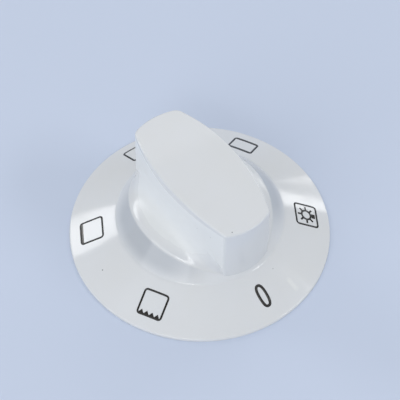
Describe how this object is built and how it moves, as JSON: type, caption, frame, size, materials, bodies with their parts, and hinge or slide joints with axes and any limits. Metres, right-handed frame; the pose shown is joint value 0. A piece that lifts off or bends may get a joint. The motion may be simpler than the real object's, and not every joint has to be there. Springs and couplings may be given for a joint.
{
  "type": "oven control knob",
  "caption": "Round oven knob: shallow conical dial skirt, steeper hub and an upright lens-shaped finger grip scooped on both flanks, with a D-shaped shaft socket underneath.",
  "frame": {"origin": "on the shaft axis in the plane of the rim's resting face", "axes": "+Z along the shaft axis out of the panel towards the grip, -Y towards the pointer end of the grip and the dial's zero, +X to the right of the pointer seen from behind it"},
  "size_m": [0.06, 0.06, 0.0238],
  "materials": {
    "gloss_white_plastic": "gloss white moulding",
    "spring_steel": "bare rolled strip",
    "dial_ink": "pad-printed near-black ink"
  },
  "bodies": {
    "root": {"knob_body": "gloss_white_plastic", "shaft_spring": "spring_steel"}
  },
  "joints": []
}
